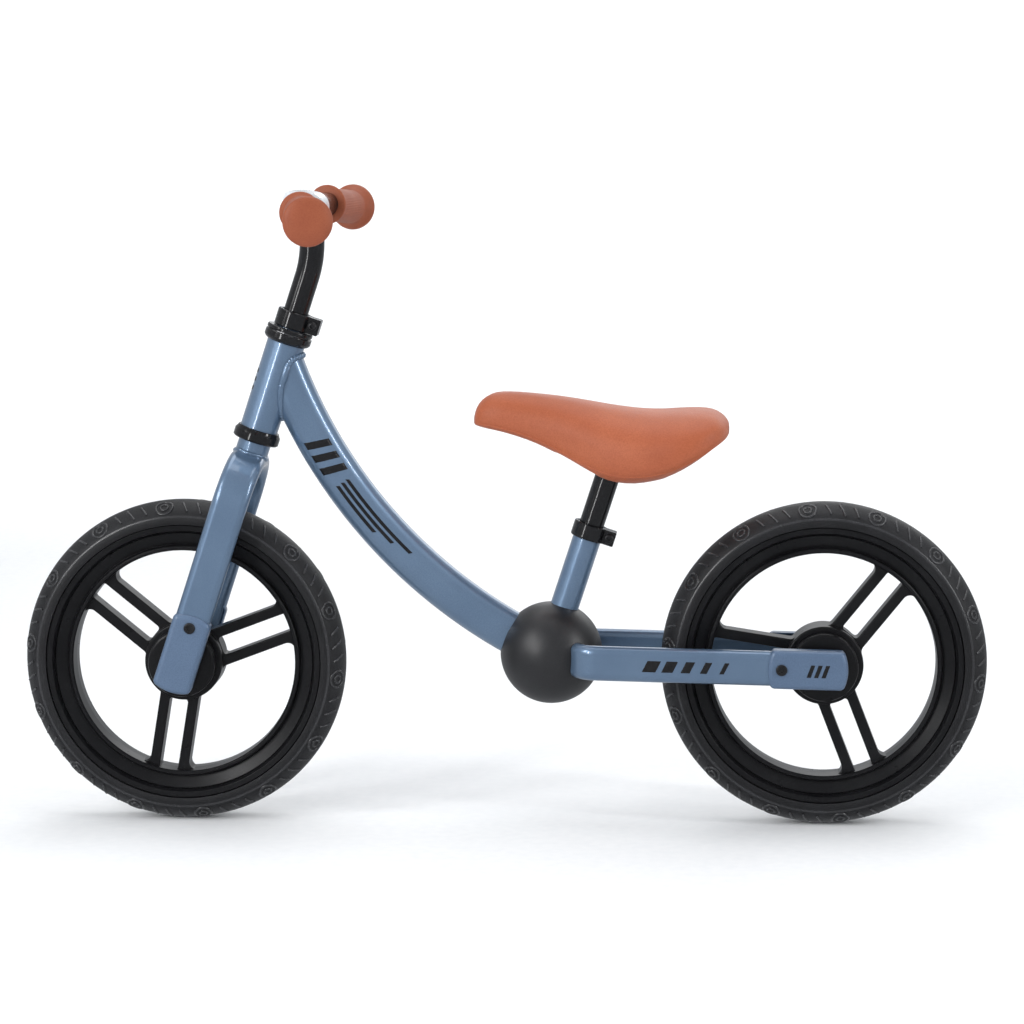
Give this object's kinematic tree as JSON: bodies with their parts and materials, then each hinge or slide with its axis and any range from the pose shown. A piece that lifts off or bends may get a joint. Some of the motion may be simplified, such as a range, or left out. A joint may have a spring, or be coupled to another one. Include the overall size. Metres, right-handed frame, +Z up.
{
  "type": "balance bike",
  "caption": "Child balance bike: curved flat-oval main tube, ball joint, U-shaped forks, three-pair spoke wheels with foam tyres, sliding saddle and handlebar posts.",
  "frame": {"origin": "on the floor, midway between the two axles", "axes": "+X to the rear of the bike, -Y to the rider's left, +Z up"},
  "size_m": [0.863, 0.3714, 0.5676],
  "materials": {
    "frame_paint": "dusty blue metallic paint under clear lacquer",
    "cover_paint": "moulded plastic in the frame colour, satin gloss",
    "black_gloss": "gloss black powder coat",
    "bolt_black": "black oxide fastener",
    "steel": "zinc-plated steel",
    "core_alloy": "cast alloy, tumbled",
    "ball_plastic": "matt black moulded plastic",
    "rim_plastic": "satin black moulded plastic",
    "tyre_foam": "solid foam tyre with moulded tread",
    "grip_rubber": "terracotta soft rubber, fine ribs",
    "saddle_cover": "terracotta synthetic leather, smooth fine grain",
    "badge_plastic": "white gloss plastic",
    "inner_plastic": "black plastic"
  },
  "bodies": {
    "frame": {"head_tube": "frame_paint", "main_tube": "frame_paint", "seat_tube": "frame_paint", "rear_fork": "frame_paint", "joint_core": "core_alloy", "joint_core_bolts": "steel", "joint_core_nuts": "steel", "ball_shell_left": "ball_plastic", "ball_shell_right": "ball_plastic", "headset_lower_cup": "black_gloss", "headset_upper_cup": "black_gloss", "seat_clamp": "black_gloss", "seat_clamp_bolt": "bolt_black", "seat_clamp_nut": "steel", "rear_axle": "steel", "rear_axle_spacers": "steel", "rear_axle_washers": "steel", "rear_axle_nuts": "steel", "rear_cover_left": "cover_paint", "rear_cover_right": "cover_paint", "rear_cover_screws": "bolt_black"},
    "fork": {"steerer": "frame_paint", "fork_blades": "frame_paint", "headset_crown_race": "steel", "headset_lower_bearing": "steel", "headset_upper_bearing": "steel", "headset_upper_cone": "steel", "headset_lock_ring": "black_gloss", "bar_clamp": "black_gloss", "bar_clamp_bolt": "bolt_black", "bar_clamp_nut": "steel", "front_axle": "steel", "front_axle_spacers": "steel", "front_axle_washers": "steel", "front_axle_nuts": "steel", "fork_cover_left": "cover_paint", "fork_cover_right": "cover_paint", "fork_cover_screws": "bolt_black"},
    "front_wheel": {"front_rim": "rim_plastic", "front_tyre": "tyre_foam", "front_bearings": "steel", "front_bearing_spacer": "steel", "front_hub_caps": "rim_plastic"},
    "rear_wheel": {"rear_rim": "rim_plastic", "rear_tyre": "tyre_foam", "rear_bearings": "steel", "rear_bearing_spacer": "steel", "rear_hub_caps": "rim_plastic"},
    "handlebar": {"handlebar_stem": "black_gloss", "handlebar_crossbar": "black_gloss", "grip_left": "grip_rubber", "grip_right": "grip_rubber", "handlebar_badge": "badge_plastic"},
    "seat": {"seat_post": "black_gloss", "seat_post_plug": "inner_plastic", "saddle_bracket": "steel", "saddle_pan": "inner_plastic", "saddle_bolts": "steel", "saddle_cushion": "saddle_cover"}
  },
  "joints": [
    {"name": "steering", "type": "hinge", "parent": "frame", "child": "fork", "pos_m": [-0.2865, 0, 0.145], "axis": [0.3123, 0, 0.95], "continuous": true},
    {"name": "front_wheel_spin", "type": "hinge", "parent": "fork", "child": "front_wheel", "pos_m": [-0.2865, 0, 0.145], "axis": [0, 1, 0], "continuous": true},
    {"name": "rear_wheel_spin", "type": "hinge", "parent": "frame", "child": "rear_wheel", "pos_m": [0.2865, 0, 0.145], "axis": [0, 1, 0], "continuous": true},
    {"name": "handlebar_height", "type": "slide", "parent": "fork", "child": "handlebar", "axis": [0.3123, 0, 0.95], "range_m": [-0.02, 0.04]},
    {"name": "saddle_height", "type": "slide", "parent": "frame", "child": "seat", "axis": [0.3123, 0, 0.95], "range_m": [-0.025, 0.045]}
  ]
}
